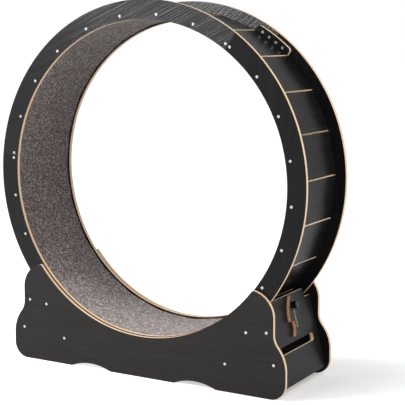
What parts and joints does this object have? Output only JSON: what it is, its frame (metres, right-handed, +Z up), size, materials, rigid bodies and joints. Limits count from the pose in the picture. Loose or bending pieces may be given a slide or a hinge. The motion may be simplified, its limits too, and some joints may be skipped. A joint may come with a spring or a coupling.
{
  "type": "cat exercise wheel",
  "caption": "Large upright running wheel for a cat: boarded track lined with carpet between plywood rings, turning on rollers in a low wooden cradle, with a sliding stopper.",
  "frame": {"origin": "on the floor under the middle of the wheel", "axes": "+Z up, +Y along the wheel's axle towards the rear, +X to the right, towards the end board with the stopper"},
  "size_m": [0.9999, 0.3, 1.063],
  "materials": {
    "board_laminate": "12 mm plywood faced with black wood-grain laminate, satin, with raw pale birch edges",
    "tread_laminate": "15 mm board faced with black wood-grain laminate, semi-gloss, with raw pale edges at the joints",
    "carpet": "short looped pile carpet, mottled dark grey and brown",
    "screw_zinc": "bright zinc-plated steel",
    "beech": "plain turned beech dowel",
    "tyre_rubber": "dark grey rubber, matt",
    "steel": "plain bright steel",
    "knob_plastic": "black moulded plastic, glossy"
  },
  "bodies": {
    "cradle": {"axle_collars": "steel", "axle_screws": "screw_zinc", "axle_spacers": "steel", "front_side_panel": "board_laminate", "left_dowel": "beech", "left_end_board": "board_laminate", "left_roller_axle": "steel", "panel_screws": "screw_zinc", "rear_side_panel": "board_laminate", "right_dowel": "beech", "right_end_board": "board_laminate", "right_roller_axle": "steel", "stopper_bolt": "steel"},
    "wheel": {"carpet_runner": "carpet", "front_ring_screws": "screw_zinc", "front_ring_segment_1": "board_laminate", "front_ring_segment_2": "board_laminate", "front_ring_segment_3": "board_laminate", "front_splice_plates": "board_laminate", "rear_ring_screws": "screw_zinc", "rear_ring_segment_1": "board_laminate", "rear_ring_segment_2": "board_laminate", "rear_ring_segment_3": "board_laminate", "rear_splice_plates": "board_laminate", "splice_screws": "screw_zinc", "tread_board_01": "tread_laminate", "tread_board_02": "tread_laminate", "tread_board_03": "tread_laminate", "tread_board_04": "tread_laminate", "tread_board_05": "tread_laminate", "tread_board_06": "tread_laminate", "tread_board_07": "tread_laminate", "tread_board_08": "tread_laminate", "tread_board_09": "tread_laminate", "tread_board_10": "tread_laminate", "tread_board_11": "tread_laminate", "tread_board_12": "tread_laminate", "tread_board_13": "tread_laminate", "tread_board_14": "tread_laminate", "tread_board_15": "tread_laminate", "tread_board_16": "tread_laminate", "tread_board_17": "tread_laminate", "tread_board_18": "tread_laminate", "tread_board_19": "tread_laminate", "tread_board_20": "tread_laminate", "tread_board_21": "tread_laminate", "tread_board_22": "tread_laminate", "tread_board_23": "tread_laminate", "tread_board_24": "tread_laminate"},
    "front_left_roller": {"front_left_tyre": "tyre_rubber", "front_left_bearing": "steel"},
    "front_right_roller": {"front_right_tyre": "tyre_rubber", "front_right_bearing": "steel"},
    "rear_left_roller": {"rear_left_tyre": "tyre_rubber", "rear_left_bearing": "steel"},
    "rear_right_roller": {"rear_right_tyre": "tyre_rubber", "rear_right_bearing": "steel"},
    "stopper": {"stopper_plate": "board_laminate"},
    "knob": {"stopper_knob": "knob_plastic"}
  },
  "joints": [
    {"name": "wheel_spin", "type": "hinge", "parent": "cradle", "child": "wheel", "pos_m": [0, 0, 0.563], "axis": [0, 1, 0], "continuous": true},
    {"name": "front_left_roller_spin", "type": "hinge", "parent": "cradle", "child": "front_left_roller", "pos_m": [-0.33287, -0.13, 0.17187], "axis": [0, 1, 0], "continuous": true},
    {"name": "front_right_roller_spin", "type": "hinge", "parent": "cradle", "child": "front_right_roller", "pos_m": [0.33287, -0.13, 0.17187], "axis": [0, 1, 0], "continuous": true},
    {"name": "rear_left_roller_spin", "type": "hinge", "parent": "cradle", "child": "rear_left_roller", "pos_m": [-0.33287, 0.13, 0.17187], "axis": [0, 1, 0], "continuous": true},
    {"name": "rear_right_roller_spin", "type": "hinge", "parent": "cradle", "child": "rear_right_roller", "pos_m": [0.33287, 0.13, 0.17187], "axis": [0, 1, 0], "continuous": true},
    {"name": "stopper_slide", "type": "slide", "parent": "cradle", "child": "stopper", "axis": [-0.2504, 0, 0.9681], "range_m": [0, 0.0345]},
    {"name": "knob_turn", "type": "hinge", "parent": "cradle", "child": "knob", "pos_m": [0.38884, 0, 0.22195], "axis": [0.9681, 0, 0.2504], "range_deg": [0, 360]}
  ],
  "couplings": [
    {"joint": "front_left_roller_spin", "follows": "wheel_spin", "ratio": -37.594},
    {"joint": "front_right_roller_spin", "follows": "wheel_spin", "ratio": -37.594},
    {"joint": "rear_left_roller_spin", "follows": "wheel_spin", "ratio": -37.594},
    {"joint": "rear_right_roller_spin", "follows": "wheel_spin", "ratio": -37.594}
  ]
}
